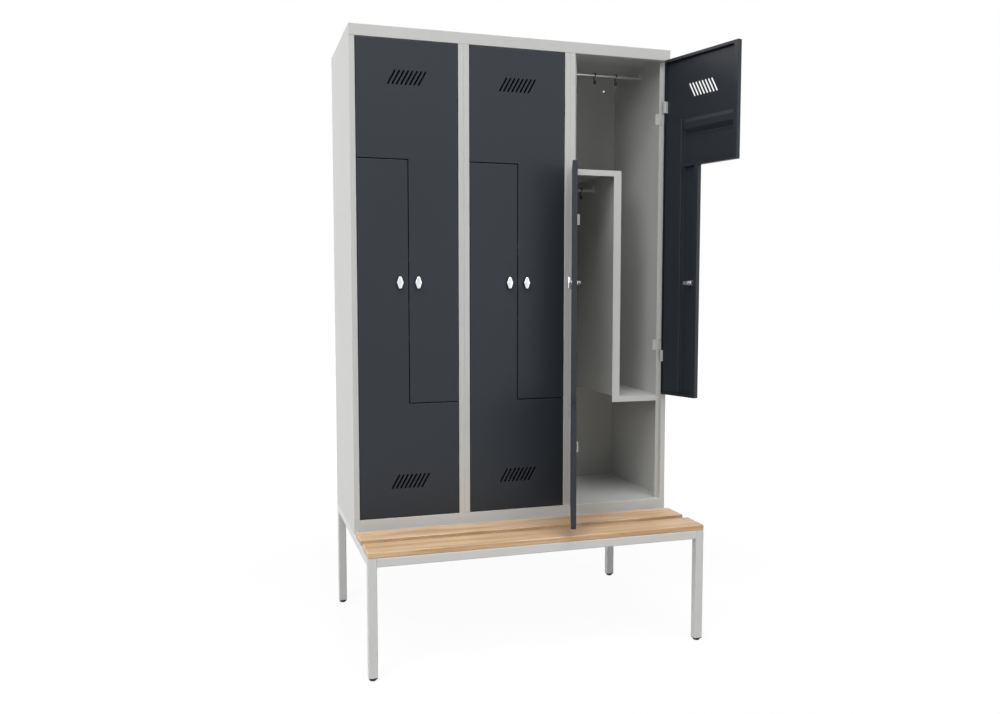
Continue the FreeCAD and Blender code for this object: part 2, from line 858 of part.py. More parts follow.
def make_columns():
    """Dividers, rails, sockets and hooks, and the hinge halves that stay on the carcass."""
    rails = []
    sockets = []
    plates = []
    pins = []
    for index, column in enumerate(columns):
        save("z_divider_" + column, [in_column(index, shape) for shape in divider()])
        web = centre_x - sheet / 2
        for x0, x1, z in ((sheet, column_pitch - sheet, upper_rail_z()), (sheet, web, lower_rail_z())):
            bar, ends = rail(x0, x1, z)
            rails.append(in_column(index, bar))
            sockets += [in_column(index, shape) for shape in ends]
        for number, place in enumerate(upper_hook_places, 1):
            shape = hook(centre_x + place, upper_rail_z())
            save(column + "_upper_hook_" + str(number), [in_column(index, shape)])
        save(column + "_lower_hook", [in_column(index, hook(web - lower_hook_from_web, lower_rail_z()))])
        for shape in hinge_plates():
            plates += [in_column(index, shape), in_column(index, turned_over(shape))]
        for shape in hinge_pins():
            pins += [in_column(index, shape), in_column(index, turned_over(shape))]
    save("clothes_rails", rails)
    save("rail_sockets", sockets)
    save("hinge_frame_plates", plates)
    save("hinge_pins", pins)


def main():
    os.makedirs("parts", exist_ok=True)
    make_walls()
    make_top_and_bottom()
    make_back()
    make_columns()
    make_doors()
    make_bench()


main()
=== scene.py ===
import json
import math

import bpy
import numpy as np
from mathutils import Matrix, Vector


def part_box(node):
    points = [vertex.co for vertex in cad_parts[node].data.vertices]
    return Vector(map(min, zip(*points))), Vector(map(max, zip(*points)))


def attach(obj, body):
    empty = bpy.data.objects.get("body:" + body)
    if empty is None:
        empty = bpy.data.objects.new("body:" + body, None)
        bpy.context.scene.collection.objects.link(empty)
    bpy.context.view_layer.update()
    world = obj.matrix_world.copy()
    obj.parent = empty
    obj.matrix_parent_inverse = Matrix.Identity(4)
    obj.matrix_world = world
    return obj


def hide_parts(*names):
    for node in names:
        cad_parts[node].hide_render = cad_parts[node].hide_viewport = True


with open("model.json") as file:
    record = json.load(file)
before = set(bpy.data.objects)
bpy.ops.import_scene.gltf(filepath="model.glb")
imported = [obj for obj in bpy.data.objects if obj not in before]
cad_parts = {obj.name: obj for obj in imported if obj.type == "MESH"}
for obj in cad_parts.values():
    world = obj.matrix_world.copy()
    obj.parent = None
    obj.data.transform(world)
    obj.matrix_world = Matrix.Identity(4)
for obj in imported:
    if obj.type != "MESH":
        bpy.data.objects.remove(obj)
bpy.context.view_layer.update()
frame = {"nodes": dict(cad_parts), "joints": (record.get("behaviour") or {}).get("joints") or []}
nodes = frame["nodes"]
joints = {joint["name"]: joint for joint in frame["joints"]}
columnNames = ["left", "middle", "right"]
levelNames = ["lower", "upper"]
print("frame loaded,", len(nodes), "nodes")


# a number on its way through a tree's nodes, so that sums are written as sums
class Wire:
    def __init__(self, finish, socket):
        self.finish = finish
        self.socket = socket

    def __add__(self, other):
        return self.finish.sum("ADD", self, other)

    def __sub__(self, other):
        return self.finish.sum("SUBTRACT", self, other)

    def __rsub__(self, other):
        return self.finish.sum("SUBTRACT", other, self)

    def __mul__(self, other):
        return self.finish.sum("MULTIPLY", self, other)

    __radd__ = __add__
    __rmul__ = __mul__


# a material or a world under construction; materials read Object coordinates
class Finish:
    def __init__(self, holder):
        self.holder = holder
        holder.use_nodes = True
        self.tree = holder.node_tree
        self.tree.nodes.clear()

    # any node: its type, then its settings, then the values or links of its sockets
    def node(self, kind, settings=None, sockets=None, out=0):
        made = self.tree.nodes.new(kind)
        for key, value in (settings or {}).items():
            if key == "stops":
                self.setStops(made.color_ramp, value)
            else:
                setattr(made, key, value)
        for key, value in (sockets or {}).items():
            self.feed(made.inputs[key], value)
        return Wire(self, made.outputs[out]) if made.outputs else None

    # colours are written with three parts
    def feed(self, socket, value):
        if isinstance(value, Wire):
            self.tree.links.new(value.socket, socket)
        elif socket.type == "RGBA":
            socket.default_value = (*value, 1.0)
        else:
            socket.default_value = value

    def setStops(self, ramp, stops):
        while len(ramp.elements) < len(stops):
            ramp.elements.new(0.5)
        for element, (place, colour) in zip(ramp.elements, stops):
            element.position = place
            element.color = (*colour, 1.0)

    # several outputs of the node that a wire comes from
    def outputs(self, wire, names):
        return [Wire(self, wire.socket.node.outputs[name]) for name in names]

    def sum(self, operation, first, second):
        return self.node("ShaderNodeMath", {"operation": operation}, {0: first, 1: second})

    def clamp(self, value):
        return self.node("ShaderNodeClamp", None, {"Value": value})

    # 0 below the low end and 1 above the high end, with a soft rise between
    def step(self, value, ends):
        low, high = ends
        return self.node("ShaderNodeMapRange", {"interpolation_type": "SMOOTHSTEP"},
                         {"Value": value, "From Min": low, "From Max": high})

    # the place on the piece, turned about an upright axis through the centre
    def place(self, turn=0.0, centre=(0.0, 0.0, 0.0)):
        where = self.node("ShaderNodeTexCoord", None, None, "Object")
        if turn == 0.0:
            return where
        return self.node("ShaderNodeVectorRotate", {"rotation_type": "Z_AXIS"},
                         {"Vector": where, "Center": centre, "Angle": turn})

    def split(self, vector):
        return self.outputs(self.node("ShaderNodeSeparateXYZ", None, {0: vector}), ("X", "Y", "Z"))

    def join(self, x, y, z):
        return self.node("ShaderNodeCombineXYZ", None, {"X": x, "Y": y, "Z": z})

    # a noise's look is its scale, detail and roughness
    def noise(self, vector, look):
        scale, detail, rough = look
        return self.node("ShaderNodeTexNoise", {"noise_dimensions": "3D"},
                         {"Vector": vector, "Scale": scale, "Detail": detail, "Roughness": rough}, "Fac")

    def mix(self, share, first, second, blend="MIX"):
        return self.node("ShaderNodeMix", {"data_type": "RGBA", "blend_type": blend},
                         {"Factor": share, 6: first, 7: second}, 2)

    def bump(self, height, settings):
        return self.node("ShaderNodeBump", None, {"Height": height, "Strength": settings["bump"],
                                                  "Distance": settings["bumpDepth"]})

    def close(self, shader, kind="ShaderNodeOutputMaterial"):
        self.node(kind, None, {"Surface": shader})
        return self.holder

    # closes the material with one principled surface
    def surface(self, sockets):
        return self.close(self.node("ShaderNodeBsdfPrincipled", None, sockets))


def newFinish(name):
    return Finish(bpy.data.materials.new(name))


def scaled(colour, factor):
    return tuple(part * factor for part in colour)


noiseMiddle = 0.5  # a noise lies evenly about this value


# the coat's colour in darker and lighter clouds, and its roughness
def clouded(made, where, settings):
    cloud = made.noise(where, settings["cloud"])
    darker, lighter = settings["cloudTones"]
    tone = made.mix(cloud, scaled(settings["colour"], darker), scaled(settings["colour"], lighter))
    rough = settings["rough"] + (cloud - noiseMiddle) * settings["cloudRough"]
    return tone, rough


# specks of the fine grain over a tone, and the bump of the orange peel
def peeled(made, where, settings, tone):
    peel = made.noise(where, settings["peel"])
    grain = made.noise(where, settings["grain"])
    speck = made.step(grain, settings["speckStep"]) * settings["speckShare"]
    tone = made.mix(speck, tone, scaled(settings["colour"], settings["speckTone"]))
    share = settings["peelShare"]
    normal = made.bump(peel * share + grain * (1.0 - share), settings)
    return tone, normal


# sheet of the body: light powder coat with clouds, rubbed spots, specks and a fine orange peel
carcassCoat = {
    "colour": (0.579, 0.583, 0.57), "rough": 0.46, "specular": 0.42,
    "cloud": (3.0, 3.0, 0.5), "cloudTones": (0.95, 1.05), "cloudRough": 0.12,
    "rub": (38.0, 5.0, 0.65), "rubStep": (0.63, 0.78), "rubShare": 0.35, "rubTone": 1.1, "rubRough": 0.15,
    "peel": (900.0, 2.0, 0.5), "grain": (288.0, 2.0, 0.5), "peelShare": 0.6,
    "speckStep": (0.66, 0.8), "speckShare": 0.25, "speckTone": 0.86,
    "bump": 0.35, "bumpDepth": 0.00012,
}


def carcassFinish(name, settings):
    made = newFinish(name)
    where = made.place()
    tone, rough = clouded(made, where, settings)
    rubbed = made.step(made.noise(where, settings["rub"]), settings["rubStep"]) * settings["rubShare"]
    tone = made.mix(rubbed, tone, scaled(settings["colour"], settings["rubTone"]))
    tone, normal = peeled(made, where, settings, tone)
    rough = rough + rubbed * settings["rubRough"]
    return made.surface({"Base Color": tone, "Roughness": rough, "Normal": normal,
                         "Specular IOR Level": settings["specular"]})


# frame tubes: the same kind of coat, with scuffs low on the legs where shoes touch
frameCoat = {
    "colour": (0.686, 0.691, 0.678), "rough": 0.42, "specular": 0.42,
    "cloud": (5.0, 3.0, 0.5), "cloudTones": (0.96, 1.04), "cloudRough": 0.1,
    "scuff": (1.0, 4.0, 0.6), "scuffAcross": 60.0, "scuffUp": 240.0, "scuffStep": (0.6, 0.72),
    "scuffHeights": (0.03, 0.2), "scuffShare": 0.4, "scuffTone": 0.6, "scuffRough": 0.3, "scuffDepth": 0.8,
    "peel": (900.0, 2.0, 0.5), "bump": 0.3, "bumpDepth": 0.00012,
}


def tubeFinish(name, settings):
    made = newFinish(name)
    where = made.place()
    x, y, z = made.split(where)
    tone, rough = clouded(made, where, settings)
    across = settings["scuffAcross"]
    marks = made.noise(made.join(x * across, y * across, z * settings["scuffUp"]), settings["scuff"])
    low = 1.0 - made.step(z, settings["scuffHeights"])
    scuff = made.step(marks, settings["scuffStep"]) * low * settings["scuffShare"]
    tone = made.mix(scuff, tone, scaled(settings["colour"], settings["scuffTone"]))
    rough = rough + scuff * settings["scuffRough"]
    normal = made.bump(made.noise(where, settings["peel"]) - scuff * settings["scuffDepth"], settings)
    return made.surface({"Base Color": tone, "Roughness": rough, "Normal": normal,
                         "Specular IOR Level": settings["specular"]})


# the shut doors of the left column as the frame has them, measured from the column's left side
doorGap = 0.003
shutLow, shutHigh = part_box("left_lower_door_shell")
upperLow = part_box("left_upper_door_shell")[0]
knobX, doorFront, knobZ = joints["left_lower_door_knob_turn"]["pos_m"]
columnPitch = joints["middle_lower_door_hinge"]["pos_m"][0] - joints["left_lower_door_hinge"]["pos_m"][0]


def columnLeft(column):
    return columnPitch * (columnNames.index(column) - len(columnNames) / 2)


# across: the knob, and the free edge of the wide and of the narrow part; up: the wide end and the step
doorPlan = {"knob": knobX - columnLeft("left"), "free": shutHigh[0] - columnLeft("left"),
            "middle": (columnPitch - doorGap) / 2, "wideEnd": shutLow[2], "step": upperLow[2] - doorGap}


# an upper door is a lower one turned by half a turn about the middle of its column at the knobs' height
def acrossColumn(x, level):
    return x if level == "lower" else columnPitch - x


def heightOnDoor(z, level):
    return z if level == "lower" else 2.0 * knobZ - z


# a door's hinge axis, and the turn from shut to its rest position
def doorHinge(column, level):
    joint = joints[column + "_" + level + "_door_hinge"]
    lowest, highest = joint["range_deg"]
    shut = highest if level == "lower" else lowest
    return (joint["pos_m"][0], joint["pos_m"][1], 0.0), -math.radians(shut)


# doors: dark powder coat, with hand marks round the knob and rubbed free edges
doorCoat = {
    "colour": (0.0236, 0.0284, 0.0358), "rough": 0.44, "specular": 0.3,
    "cloud": (3.2, 3.0, 0.5), "cloudTones": (0.93, 1.07), "cloudRough": 0.1,
    "smear": (24.0, 5.0, 0.62), "handStep": (0.38, 0.7), "handReach": (0.02, 0.16), "handHeight": 0.7,
    "handShare": 0.18, "handTone": 1.5, "handRough": -0.1,
    "peel": (900.0, 2.0, 0.5), "grain": (270.0, 2.0, 0.5), "peelShare": 0.6,
    "speckStep": (0.66, 0.8), "speckShare": 0.3, "speckTone": 1.3,
    "rim": 0.0022, "rimSide": 0.4, "rimFront": 0.5,
    "edgeStep": (0.56, 0.7), "edgeShare": 0.5, "edgeColour": (0.15, 0.16, 0.17), "edgeRough": 0.1,
    "bump": 0.35, "bumpDepth": 0.00012,
}


# 1 within a rim's width of the free edges on the front of a door, 0 elsewhere
def freeEdges(made, settings, place, column, level):
    x, y, z = place
    across = acrossColumn(x - columnLeft(column), level)
    height = heightOnDoor(z, level)
    rim = settings["rim"]
    inWide = 1.0 - made.step(height, (doorPlan["step"] - rim, doorPlan["step"]))
    free = inWide * doorPlan["free"] + (1.0 - inWide) * doorPlan["middle"]
    side = made.step(across, (free - rim, free - rim * settings["rimSide"]))
    end = doorPlan["wideEnd"]
    bottom = 1.0 - made.step(height, (end + rim * settings["rimSide"], end + rim))
    front = 1.0 - made.step(y, (doorFront + rim * settings["rimFront"], doorFront + rim))
    return made.clamp(side + bottom) * front


def doorFinish(name, settings, column, level):
    made = newFinish(name)
    hinge, turn = doorHinge(column, level)
    where = made.place(-turn, hinge)
    x, y, z = made.split(where)
    tone, rough = clouded(made, where, settings)
    knob = columnLeft(column) + acrossColumn(doorPlan["knob"], level)
    tall = settings["handHeight"]
    away = made.node("ShaderNodeVectorMath", {"operation": "DISTANCE"},
                     {0: made.join(x, 0.0, z * tall), 1: (knob, 0.0, knobZ * tall)}, "Value")
    smear = made.noise(where, settings["smear"])
    hand = (1.0 - made.step(away, settings["handReach"])) * made.step(smear, settings["handStep"])
    tone = made.mix(hand * settings["handShare"], tone, scaled(settings["colour"], settings["handTone"]))
    tone, normal = peeled(made, where, settings, tone)
    edge = made.step(smear, settings["edgeStep"]) * freeEdges(made, settings, (x, y, z), column, level)
    tone = made.mix(edge * settings["edgeShare"], tone, settings["edgeColour"])
    rough = rough + hand * settings["handRough"] + edge * settings["edgeRough"]
    return made.surface({"Base Color": tone, "Roughness": rough, "Normal": normal,
                         "Specular IOR Level": settings["specular"]})


# beech: long grain along the slat, broad and narrow streaks, short dark rays, painted shade on the flanks and
# worn edges;
# a figure is a noise stretched along the slat, which curls with the bow of the grain
beechWood = {
    "pale": (0.86, 0.625, 0.4), "warm": (0.725, 0.475, 0.275), "dark": (0.4, 0.22, 0.11),
    "deep": (0.52, 0.295, 0.145), "worn": (0.8, 0.61, 0.42),
    "rough": 0.42, "specular": 0.3, "coat": 0.05, "coatRough": 0.4,
    "bow": {"along": 0.9, "across": 6.0, "look": (1.0, 3.0, 0.5)},
    "band": {"along": 0.35, "y": 9.0, "z": 5.0, "bow": 2.4, "plank": 3.2, "up": 2.0, "look": (1.6, 5.0, 0.6)},
    "bandStops": [(0.28, "warm"), (0.5, "pale"), (0.62, "warm"), (0.8, "pale")],
    "fibre": {"along": 7.0, "across": 420.0, "curl": 8.0, "look": (1.0, 4.0, 0.62), "step": (0.5, 0.78),
              "share": 0.35},
    "broad": {"along": 2.6, "across": 30.0, "curl": 5.0, "look": (1.0, 2.0, 0.5), "step": (0.47, 0.64),
              "share": 0.45},
    "streak": {"along": 2.2, "across": 80.0, "curl": 7.0, "look": (1.0, 3.0, 0.55), "step": (0.5, 0.68),
               "share": 0.55},
    "vein": {"along": 4.0, "across": 210.0, "curl": 14.0, "look": (1.0, 3.0, 0.6), "step": (0.54, 0.7),
             "share": 0.5},
    "ray": {"along": 95.0, "across": 900.0, "curl": 0.0, "look": (1.0, 2.0, 0.5), "step": (0.6, 0.7),
            "share": 0.5},
    "rim": 0.004, "wornStep": (0.35, 0.65), "wornShare": 0.2, "flankRim": (0.8, 0.05),
    "fibreRough": 0.16, "rayRough": 0.12, "fibreDepth": 0.5, "rayDepth": 0.5,
    "bump": 0.4, "bumpDepth": 0.0002,
}
# painted shade on each slat's sides, underside and rounded top edges, deeper on the rear slat, which the
# front slat shades
slats = {"seat_slat_front": {"seed": 0.0, "flank": (0.84, 0.82, 0.8)},
         "seat_slat_rear": {"seed": 3.7, "flank": (0.68, 0.64, 0.6)}}


def beechFinish(name, settings, slat, low, high):
    made = newFinish(name)
    x, y, z = made.split(made.place())
    along, across = settings["bow"]["along"], settings["bow"]["across"]
    bow = made.noise(made.join(x * along + slat["seed"], y * across, z * across), settings["bow"]["look"])

    def figure(form, seed):
        across = form["across"]
        stretched = made.join(x * form["along"] + seed, y * across + bow * form["curl"], z * across)
        return made.noise(stretched, form["look"])

    def share(form, value):
        return made.step(value, form["step"]) * form["share"]

    wide = settings["band"]
    plank = y * wide["y"] + z * wide["z"] + bow * wide["bow"]
    band = made.noise(made.join(x * wide["along"] + slat["seed"], plank * wide["plank"], z * wide["up"]),
                      wide["look"])
    stops = [(place, settings[colour]) for place, colour in settings["bandStops"]]
    tone = made.node("ShaderNodeValToRGB", {"stops": stops}, {"Fac": band})
    fibre = figure(settings["fibre"], 0.0)
    tone = made.mix(share(settings["fibre"], fibre), tone, settings["warm"])
    for kind in ("broad", "streak", "vein"):
        tone = made.mix(share(settings[kind], figure(settings[kind], slat["seed"])), tone, settings["deep"])
    ray = share(settings["ray"], figure(settings["ray"], slat["seed"]))
    tone = made.mix(ray, tone, settings["dark"])

    rim = settings["rim"]
    side = made.step(y, (high[1] - rim, high[1])) + 1.0 - made.step(y, (low[1], low[1] + rim))
    top = made.step(z, (high[2] - rim, high[2]))
    worn = made.clamp(side) * top * made.step(bow, settings["wornStep"])
    tone = made.mix(worn * settings["wornShare"], tone, settings["worn"])
    # painted shade: below the top the slat's colour is multiplied darker, from the rounded edge down
    flank = 1.0 - made.step(z, [high[2] - rim * part for part in settings["flankRim"]])
    tone = made.mix(flank, tone, slat["flank"], "MULTIPLY")
    rough = settings["rough"] + (fibre - noiseMiddle) * settings["fibreRough"] + ray * settings["rayRough"]
    normal = made.bump(fibre * settings["fibreDepth"] - ray * settings["rayDepth"], settings)
    return made.surface({"Base Color": tone, "Roughness": rough, "Normal": normal,
                         "Coat Weight": settings["coat"], "Coat Roughness": settings["coatRough"],
                         "Specular IOR Level": settings["specular"]})


# bare metal: fine brush lines and dull blotches
metalLook = {"blotch": (60.0, 4.0, 0.6), "blotchStep": (0.45, 0.75), "blotchShare": 0.6, "blotchRough": 0.12,
             "line": (1.0, 3.0, 0.5), "lineAcross": 40.0, "lineRough": 0.15,
             "bump": 0.2, "bumpDepth": 0.00005}
platedSteel = {"colour": (0.7, 0.71, 0.72), "dull": (0.5, 0.5, 0.5), "rough": 0.34, "lineUp": 900.0}
# a knob's flanks get a dark painted shade and are duller; behind the door it gets painted light and shade,
# lighter on the upper doors and darker on the lower; depths are in front of its door
satinZinc = {"colour": (0.78, 0.78, 0.79), "dull": (0.66, 0.66, 0.67), "rough": 0.24, "lineUp": 1500.0,
             "flank": (0.17, 0.175, 0.18), "flankDepths": (0.0105, 0.0085), "flankRough": 0.22,
             "innerDepths": (0.003, 0.0), "inner": {"lower": (0.2, 0.2, 0.2), "upper": (0.55, 0.55, 0.56)}}


def metalFinish(name, settings, door=None):
    made = newFinish(name)
    hinge, turn = doorHinge(*door) if door else ((0.0, 0.0, 0.0), 0.0)
    where = made.place(-turn, hinge)
    x, y, z = made.split(where)
    blotch = made.noise(where, metalLook["blotch"])
    across = metalLook["lineAcross"]
    lines = made.noise(made.join(x * across, y * across, z * settings["lineUp"]), metalLook["line"])
    dull = made.step(blotch, metalLook["blotchStep"]) * metalLook["blotchShare"]
    tone = made.mix(dull, settings["colour"], settings["dull"])
    rough = settings["rough"] + (lines - noiseMiddle) * metalLook["lineRough"]
    rough = rough + (blotch - noiseMiddle) * metalLook["blotchRough"]
    if door:
        # painted shade: the knob's flanks get a dark tone standing for the dark surroundings they reflect
        flank = made.step(y, [doorFront - depth for depth in settings["flankDepths"]])
        tone = made.mix(flank, tone, settings["flank"])
        # painted light and shade: behind the door the knob gets a lighter tone on the upper doors and a
        # darker one on the lower
        inner = made.step(y, [doorFront - depth for depth in settings["innerDepths"]])
        tone = made.mix(inner, tone, settings["inner"][door[1]])
        rough = rough + flank * settings["flankRough"]
    return made.surface({"Base Color": tone, "Roughness": rough, "Metallic": 1.0,
                         "Normal": made.bump(lines, metalLook)})


# black moulded plastic: fine grain and grey rub marks
blackPlastic = {"colour": (0.014, 0.014, 0.015), "rub": (0.05, 0.05, 0.05), "rough": 0.48,
                "cloud": (70.0, 4.0, 0.5), "cloudRough": 0.2, "rubStep": (0.58, 0.75), "rubShare": 0.5,
                "grain": (1400.0, 3.0, 0.5), "bump": 0.3, "bumpDepth": 0.0001}


def plasticFinish(name, settings):
    made = newFinish(name)
    where = made.place()
    cloud = made.noise(where, settings["cloud"])
    rubbed = made.step(cloud, settings["rubStep"]) * settings["rubShare"]
    tone = made.mix(rubbed, settings["colour"], settings["rub"])
    rough = settings["rough"] + (cloud - noiseMiddle) * settings["cloudRough"]
    normal = made.bump(made.noise(where, settings["grain"]), settings)
    return made.surface({"Base Color": tone, "Roughness": rough, "Normal": normal})


def dress(names, material):
    for name in names:
        node = nodes[name]
        node.data.materials.clear()
        node.data.materials.append(material)


# every frame node gets its finish
carcass = carcassFinish("carcass powder coat", carcassCoat)
dress([name for name in nodes if name.startswith(("side_panel", "partition", "z_divider"))], carcass)
dress(["back_panel", "top_panel", "bottom_panel", "hinge_frame_plates"], carcass)
dress(["bench_legs", "bench_rails"], tubeFinish("frame powder coat", frameCoat))
steel = metalFinish("plated steel", platedSteel)
dress(["clothes_rails", "rail_sockets", "hinge_pins", "slat_screws", "carcass_bolts"], steel)
plastic = plasticFinish("black plastic", blackPlastic)
dress(["foot_glides"] + [name for name in nodes if "hook" in name], plastic)
for name, slat in slats.items():
    dress([name], beechFinish("beech " + name, beechWood, slat, *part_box(name)))
zinc = {}
for column in columnNames:
    for level in levelNames:
        door = column + "_" + level + "_door_"
        coat = doorFinish("door coat " + column + " " + level, doorCoat, column, level)
        dress([door + "shell", door + "stiffeners"], coat)
        dress([door + "hinge_leaves"], carcass)
        dress([door + "lock_barrel"], steel)
        zinc[column, level] = metalFinish("satin zinc " + column + " " + level, satinZinc, (column, level))
        dress([door + "turn_knob"], zinc[column, level])
print("finishes set")

sharpAngle = 38.0  # degrees; a steeper edge isn't shaded smooth


# each shell is a grid of points, rings one after another, every ring closed on itself
def ringFaces(rows, count, first, loop):
    row = np.arange(rows if loop else rows - 1)[:, None] * count
    turn = np.arange(count)[None, :]
    following = (turn + 1) % count
    nextRow = (row + count) % (rows * count)
    quads = np.stack([row + turn, row + following, nextRow + following, nextRow + turn], axis=-1)
    return (quads.reshape(-1, 4) + first).tolist()


# a piece from shells; a shell that doesn't loop back to its first ring gets a face at both ends
def makePiece(name, shells, material, body, node):
    points, faces, first = [], [], 0
    for grid, loop in shells:
        rows, count = grid.shape[:2]
        faces += ringFaces(rows, count, first, loop)
        if not loop:
            faces.append(list(range(first + count - 1, first - 1, -1)))
            faces.append(list(range(first + (rows - 1) * count, first + rows * count)))
        points.append(grid.reshape(-1, 3))
        first += rows * count
    mesh = bpy.data.meshes.new(name)
    mesh.from_pydata(np.concatenate(points).tolist(), [], faces)
    mesh.shade_smooth()
    mesh.set_sharp_from_angle(angle=math.radians(sharpAngle))
    mesh.materials.append(material)
    piece = bpy.data.objects.new(name, mesh)
    bpy.context.scene.collection.objects.link(piece)
    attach(piece, body)
    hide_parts(node)


# a polygon whose corners C are parabolas from A to B, a cut's length to either side:
# (1-t)^2 A + 2t(1-t) C + t^2 B
def roundedOutline(corners, cut, steps=5):
    corners = np.array(corners, float)
    before = np.roll(corners, 1, axis=0) - corners
    after = np.roll(corners, -1, axis=0) - corners
    start = corners + before / np.linalg.norm(before, axis=1, keepdims=True) * cut
    end = corners + after / np.linalg.norm(after, axis=1, keepdims=True) * cut
    t = np.linspace(0.0, 1.0, steps)[None, :, None]
    arcs = (1 - t) ** 2 * start[:, None] + 2 * t * (1 - t) * corners[:, None] + t ** 2 * end[:, None]
    return arcs.reshape(-1, 2)


# an outline in x and z carried along y: ring k is the outline times 1 - inset k / its reach, at depth k
def stacked(outline, centre, insets, depths):
    reach = np.abs(outline).max(axis=0)
    scale = 1.0 - np.array(insets, float)[:, None] / reach[None, :]
    rings = outline[None] * scale[:, None]
    depth = np.broadcast_to(np.array(depths, float)[:, None], rings.shape[:2])
    return np.stack([rings[..., 0] + centre[0], depth, rings[..., 1] + centre[1]], axis=-1)


# a profile of radii r and depths turned about an axis along y: x = r sin a, z = r cos a; wave adds to r
def turned(radii, depths, centre, count, wave=None):
    angle = np.linspace(0.0, 2.0 * math.pi, count, endpoint=False)[None, :]
    radius = np.array(radii, float)[:, None] + np.zeros_like(angle)
    depth = np.array(depths, float)[:, None] + np.zeros_like(angle)
    if wave is not None:
        radius = radius + wave(angle, depth)
    x = centre[0] + radius * np.sin(angle)
    z = centre[1] + radius * np.cos(angle)
    return np.stack([x, depth, z], axis=-1)


# a place on a shut lower door, carried to any door and turned about its hinge to where it stands at rest
def onDoor(shells, column, level):
    hinge, turn = doorHinge(column, level)
    carried = []
    for grid, loop in shells:
        across = columnLeft(column) + acrossColumn(grid[..., 0], level) - hinge[0]
        deep = doorFront + grid[..., 1] - hinge[1]
        x = hinge[0] + across * math.cos(turn) - deep * math.sin(turn)
        y = hinge[1] + across * math.sin(turn) + deep * math.cos(turn)
        carried.append((np.stack([x, y, heightOnDoor(grid[..., 2], level)], axis=-1), loop))
    return carried


# quarter circle from a side to a face: insets r (1 - cos a) and rises r sin a of a rounded edge
def roundedEdge(radius, steps=6):
    angle = np.linspace(0.0, math.pi / 2, steps)
    return radius * (1.0 - np.cos(angle)), radius * np.sin(angle)


# hexagon nut with soft corners and bevelled faces; its corner and bevel are shares of half its width
nutForm = {"sides": 6, "corner": 0.12, "cornerSteps": 4, "bevel": 0.09, "bevelRise": 0.6}


def hexagonNut(form, half, hole, front, back, centre):
    angle = np.arange(form["sides"]) * 2.0 * math.pi / form["sides"]
    corners = np.stack([np.cos(angle), np.sin(angle)], axis=-1) * half / math.cos(math.pi / form["sides"])
    outline = roundedOutline(corners, half * form["corner"], form["cornerSteps"])
    bevel = half * form["bevel"]
    rise = bevel * form["bevelRise"]
    outer = stacked(outline, centre, [bevel, 0.0, 0.0, bevel], [front, front + rise, back - rise, back])
    circle = outline / np.linalg.norm(outline, axis=1, keepdims=True) * hole
    inner = stacked(circle, centre, [0.0, 0.0], [back, front])
    return np.concatenate([outer, inner])


# turn knob: a long hexagon with soft corners, on a spindle that carries a cam and a nut
knobForm = {
    "tall": 0.0218, "wide": 0.0132, "flat": 0.0052, "corner": 0.0022, "base": -0.0018, "height": 0.012,
    "foot": 0.0006, "taper": 0.0012, "edge": 0.0022,
    "crown": 0.0005, "crownInsets": (0.003, 0.006), "crownShares": (0.7, 1.0),
    "spindle": 0.004, "spindleEnd": 0.0315, "spindleTip": 0.0008, "spindleCount": 32,
    "camFront": 0.0225, "camBack": 0.025, "camReach": 0.028, "camHalf": 0.008, "camEdge": 0.0005,
    "camCorner": 0.0025, "camSteps": 15, "nutHalf": 0.0065, "nutBack": 0.03,
}


def knobShells(form, centre):
    tall, wide, flat = form["tall"], form["wide"], form["flat"]
    corners = [(flat, tall), (-flat, tall), (-wide, 0.0), (-flat, -tall), (flat, -tall), (wide, 0.0)]
    outline = roundedOutline(corners, form["corner"])
    inset, rise = roundedEdge(form["edge"])
    base, foot, taper = form["base"], form["foot"], form["taper"]
    face = base - form["height"]
    crownInsets = taper + form["edge"] + np.array(form["crownInsets"])
    crownDepths = face - form["crown"] * np.array(form["crownShares"])
    insets = np.concatenate([[foot, 0.0], taper + inset, crownInsets])
    depths = np.concatenate([[base, base - foot], face + form["edge"] - rise, crownDepths])
    grip = stacked(outline, centre, insets, depths)
    radius, end, tip = form["spindle"], form["spindleEnd"], form["spindleTip"]
    spindle = turned([radius, radius, radius - tip], [base, end - tip, end], centre, form["spindleCount"])
    half, reach, edge = form["camHalf"], form["camReach"], form["camEdge"]
    swing = np.linspace(-math.pi / 2, math.pi / 2, form["camSteps"])
    bow = np.stack([half * np.cos(swing), half * np.sin(swing)], axis=-1)
    bar = roundedOutline([(-reach, half), (-reach, -half)], form["camCorner"])
    cam = stacked(np.concatenate([bow, bar]), centre, [edge, 0.0, 0.0, edge],
                  [form["camFront"], form["camFront"] + edge, form["camBack"] - edge, form["camBack"]])
    nut = hexagonNut(nutForm, form["nutHalf"], radius, form["camBack"], form["nutBack"], centre)
    return [(grip, False), (spindle, False), (cam, False), (nut, True)]


# lock barrel: a rosette with a rounded rim, a barrel with a thread behind its nut, and a bore for the spindle
lockForm = {
    "rosette": 0.011, "plate": 0.0015, "rim": 0.0009, "barrel": 0.008, "end": 0.022, "bore": 0.0041,
    "sheet": 0.001, "nutHalf": 0.011, "nutBack": 0.006, "nutPlay": 0.00005, "count": 48,
    "pitch": 0.0015, "pitchSteps": 8, "thread": 0.0003, "threadStart": 0.0001, "threadEnd": 0.0006,
    "chamfer": 0.0008,
}


